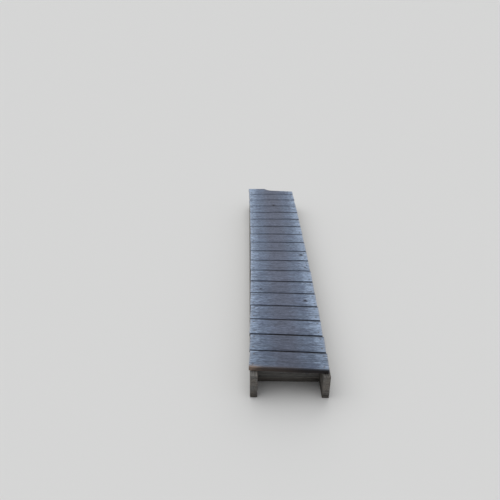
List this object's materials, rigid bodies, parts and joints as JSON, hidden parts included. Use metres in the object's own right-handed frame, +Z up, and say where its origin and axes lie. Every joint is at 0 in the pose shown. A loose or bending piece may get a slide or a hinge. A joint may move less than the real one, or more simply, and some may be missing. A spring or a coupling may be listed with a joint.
{
  "type": "wooden footbridge",
  "caption": "Narrow plank footbridge: weathered boards laid crosswise on two timber stringers, with blocks between them, and no handrail.",
  "frame": {"origin": "on the ground, under the middle of the bridge's length and width", "axes": "+X across the bridge to the right, +Y along the bridge from its near end to its far end, +Z up"},
  "size_m": [0.4203, 2.6472, 0.165],
  "materials": {
    "decking": "weathered silver-grey, worn browner along the middle, unfinished",
    "framing": "weathered dark grey-brown, unfinished",
    "fasteners": "hot-dip galvanised, dull, with rust starting at the heads"
  },
  "bodies": {
    "root": {"deck_board_01": "decking", "deck_board_02": "decking", "deck_board_03": "decking", "deck_board_04": "decking", "deck_board_05": "decking", "deck_board_06": "decking", "deck_board_07": "decking", "deck_board_08": "decking", "deck_board_09": "decking", "deck_board_10": "decking", "deck_board_11": "decking", "deck_board_12": "decking", "deck_board_13": "decking", "deck_board_14": "decking", "deck_board_15": "decking", "deck_board_16": "decking", "deck_board_17": "decking", "deck_board_18": "decking", "left_stringer": "framing", "right_stringer": "framing", "near_block": "framing", "middle_block": "framing", "far_block": "framing"}
  },
  "joints": []
}
